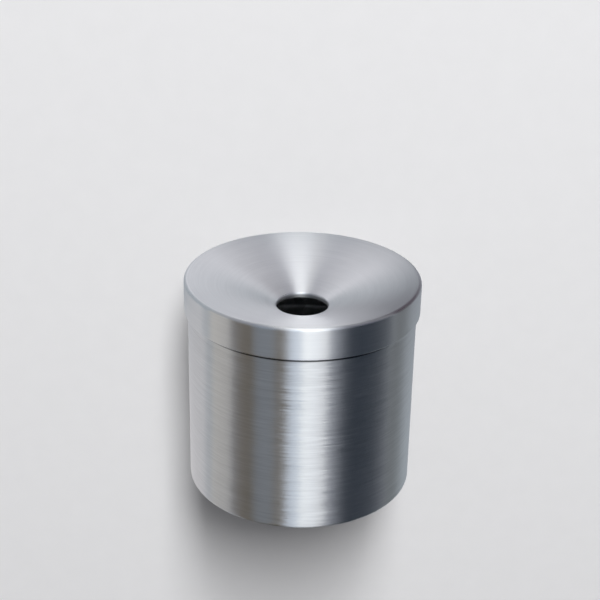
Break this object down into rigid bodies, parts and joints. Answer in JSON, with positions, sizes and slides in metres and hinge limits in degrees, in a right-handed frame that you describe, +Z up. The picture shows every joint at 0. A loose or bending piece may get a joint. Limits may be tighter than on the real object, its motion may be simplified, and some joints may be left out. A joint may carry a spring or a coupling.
{
  "type": "ashtray bin",
  "caption": "Wall-hung round ashtray bin: satin steel drum, funnel lid with a central hole, lift-out bucket with a wire handle, and a hooked wall plate.",
  "frame": {"origin": "centre of the wall plate's back face, on the wall", "axes": "+Z up, +Y into the wall, +X to the right for a person who faces the bin; the bin hangs on the -Y side"},
  "size_m": [0.16, 0.165, 0.15],
  "materials": {
    "satin_steel": "brushed around the drum",
    "spun_steel": "spun satin",
    "galvanised_steel": "galvanised",
    "zinc_steel": "zinc plated",
    "wire_steel": "drawn wire",
    "rivet_steel": "satin",
    "rubber": "matt"
  },
  "bodies": {
    "wall_bracket": {"wall_plate": "zinc_steel", "bumper_left": "rubber", "bumper_right": "rubber"},
    "casing": {"drum": "satin_steel", "base_pan": "satin_steel", "hanger_strap": "zinc_steel", "hanger_rivets": "rivet_steel"},
    "bucket": {"bucket": "galvanised_steel", "handle_ear_left": "galvanised_steel", "handle_ear_right": "galvanised_steel", "ear_rivets": "rivet_steel"},
    "handle": {"bail_handle": "wire_steel"},
    "lid": {"funnel_lid": "spun_steel"}
  },
  "joints": [
    {"name": "bin_unhook", "type": "slide", "parent": "wall_bracket", "child": "casing", "axis": [0, 0, 1], "range_m": [0, 0.03]},
    {"name": "bucket_lift", "type": "slide", "parent": "casing", "child": "bucket", "axis": [0, 0, 1], "range_m": [0, 0.15]},
    {"name": "lid_lift", "type": "slide", "parent": "bucket", "child": "lid", "axis": [0, 0, 1], "range_m": [0, 0.12]},
    {"name": "handle_swing", "type": "hinge", "parent": "bucket", "child": "handle", "pos_m": [0, -0.085, 0.0715], "axis": [-1, 0, 0], "range_deg": [0, 94]}
  ],
  "couplings": [
    {"joint": "handle_swing", "follows": "lid_lift", "rad_per_m": 13.6}
  ]
}
